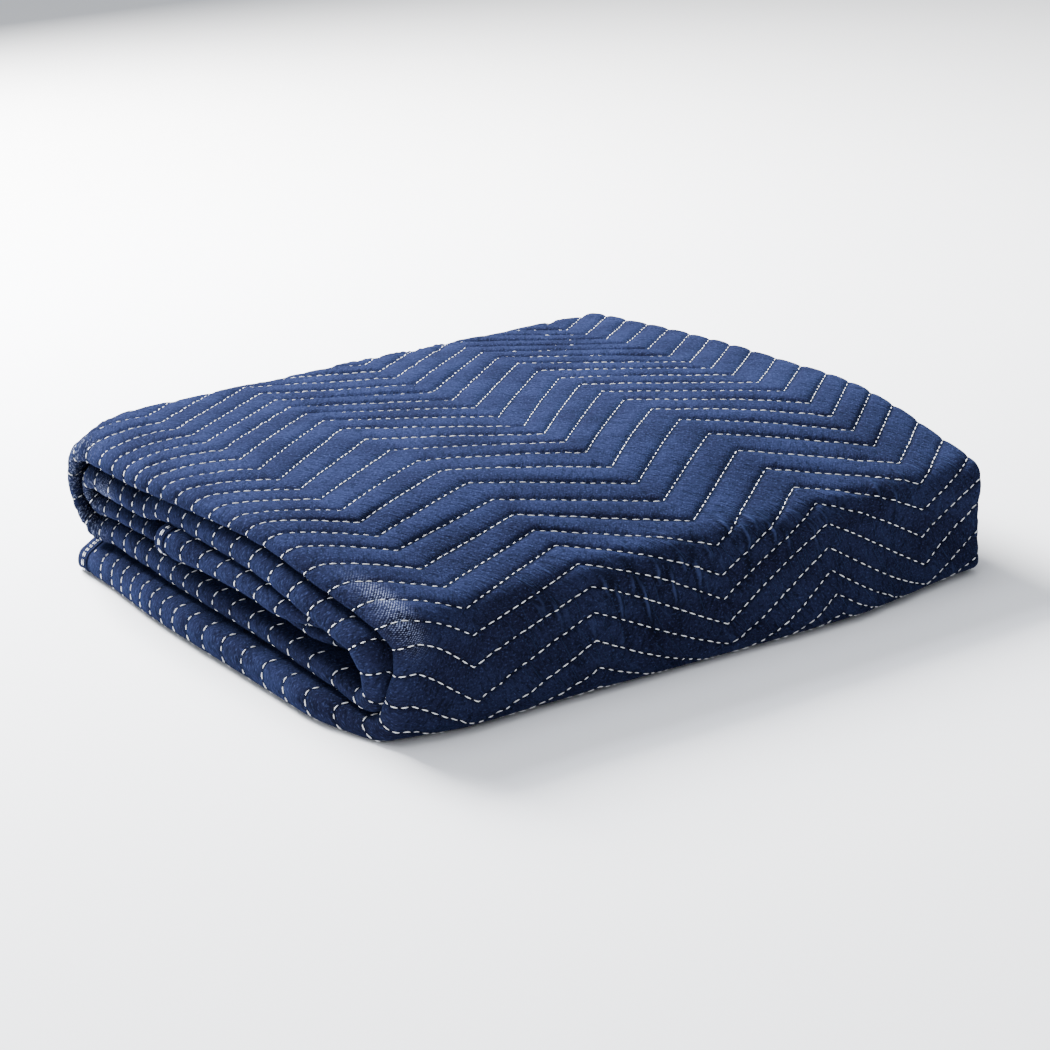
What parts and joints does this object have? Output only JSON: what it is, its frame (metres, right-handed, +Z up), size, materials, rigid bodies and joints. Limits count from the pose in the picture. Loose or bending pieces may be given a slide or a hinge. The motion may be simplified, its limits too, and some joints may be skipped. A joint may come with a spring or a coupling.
{
  "type": "moving blanket",
  "caption": "Quilted moving blanket with zigzag stitching, folded in thirds and wound into a flat stack that rests on the floor.",
  "frame": {"origin": "middle of the bounding box, on the surface that the stack rests on", "axes": "+Z up, +X along the bends of the winding, +Y from the front bend to the back bend"},
  "size_m": [0.6436, 0.6341, 0.1287],
  "materials": {
    "blanket_cloth": "navy woven polyester, quilted, matt with a faint sheen",
    "binding_cloth": "navy woven binding tape, matt"
  },
  "bodies": {
    "root": {"blanket": "blanket_cloth", "binding_outer_end": "binding_cloth", "binding_inner_end": "binding_cloth"}
  },
  "joints": []
}
